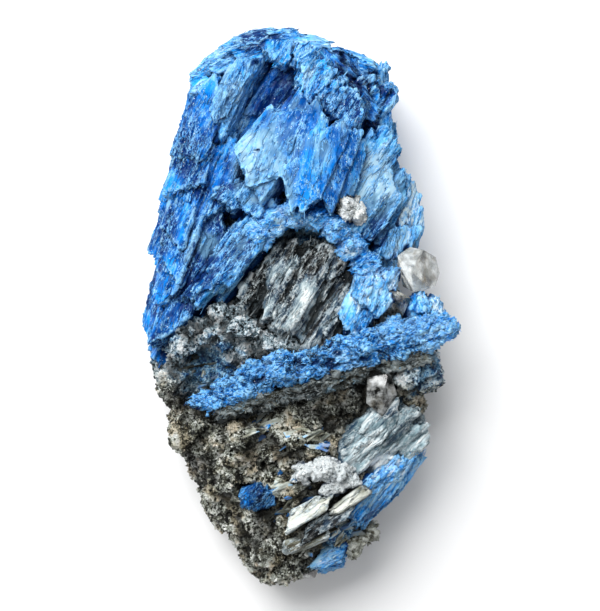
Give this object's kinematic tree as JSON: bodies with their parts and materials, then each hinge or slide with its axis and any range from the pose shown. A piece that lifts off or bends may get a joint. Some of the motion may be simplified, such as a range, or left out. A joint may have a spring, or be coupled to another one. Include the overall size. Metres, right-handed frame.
{
  "type": "kyanite blade cluster",
  "caption": "Hand specimen of blue kyanite blades in sprays through mica schist, with quartz and feldspar grains. It lies on its flat back with its show face up.",
  "frame": {"origin": "under the middle of the specimen's bounding box, in the plane of its flat back", "axes": "+Z out of the show face; +Y along the length, towards the blue end; +X across, to the right as the show face is seen with the blue end up"},
  "size_m": [0.0626, 0.11, 0.0375],
  "materials": {
    "blue_kyanite": "vitreous on the cleavage faces, frosted along the broken edges",
    "pale_kyanite": "pearly pale blue, frosted along the broken edges",
    "grey_kyanite": "grey to blue-grey, silky along the fibres",
    "blue_crust": "granular, sparkling",
    "mica_schist": "grey-brown, granular, glinting mica flakes",
    "feldspar": "white, dull to pearly",
    "quartz": "clear to smoky, glassy"
  },
  "bodies": {
    "root": {"blue_vein": "blue_crust", "bright_block": "blue_crust", "brown_lath": "grey_kyanite", "brown_quartz": "quartz", "cleavage_block": "blue_kyanite", "crest_spray": "blue_kyanite", "crust_arch": "blue_crust", "dark_lath": "grey_kyanite", "foot_chip": "pale_kyanite", "foot_crystal": "quartz", "foot_grains": "feldspar", "grey_fan": "grey_kyanite", "laminated_spray": "grey_kyanite", "left_bundle": "blue_kyanite", "left_flank_spray": "blue_kyanite", "left_limb_spray": "pale_kyanite", "lower_blue_spray": "blue_kyanite", "lower_feldspar": "feldspar", "mica_ledge": "mica_schist", "mid_left_spray": "pale_kyanite", "pale_lath": "feldspar", "pocket_crystal": "blue_kyanite", "quartz_crystal": "quartz", "recess_spray": "blue_kyanite", "ridge_spray": "pale_kyanite", "right_edge_spray": "blue_kyanite", "right_flank_spray": "blue_kyanite", "right_tip_spray": "blue_kyanite", "scaly_spray": "blue_kyanite", "schist_rock": "mica_schist", "shield_spray": "pale_kyanite", "side_shield_spray": "pale_kyanite", "smoky_quartz_grain": "quartz", "striated_spray": "blue_kyanite", "upper_feldspar": "feldspar", "white_lath": "feldspar"}
  },
  "joints": []
}
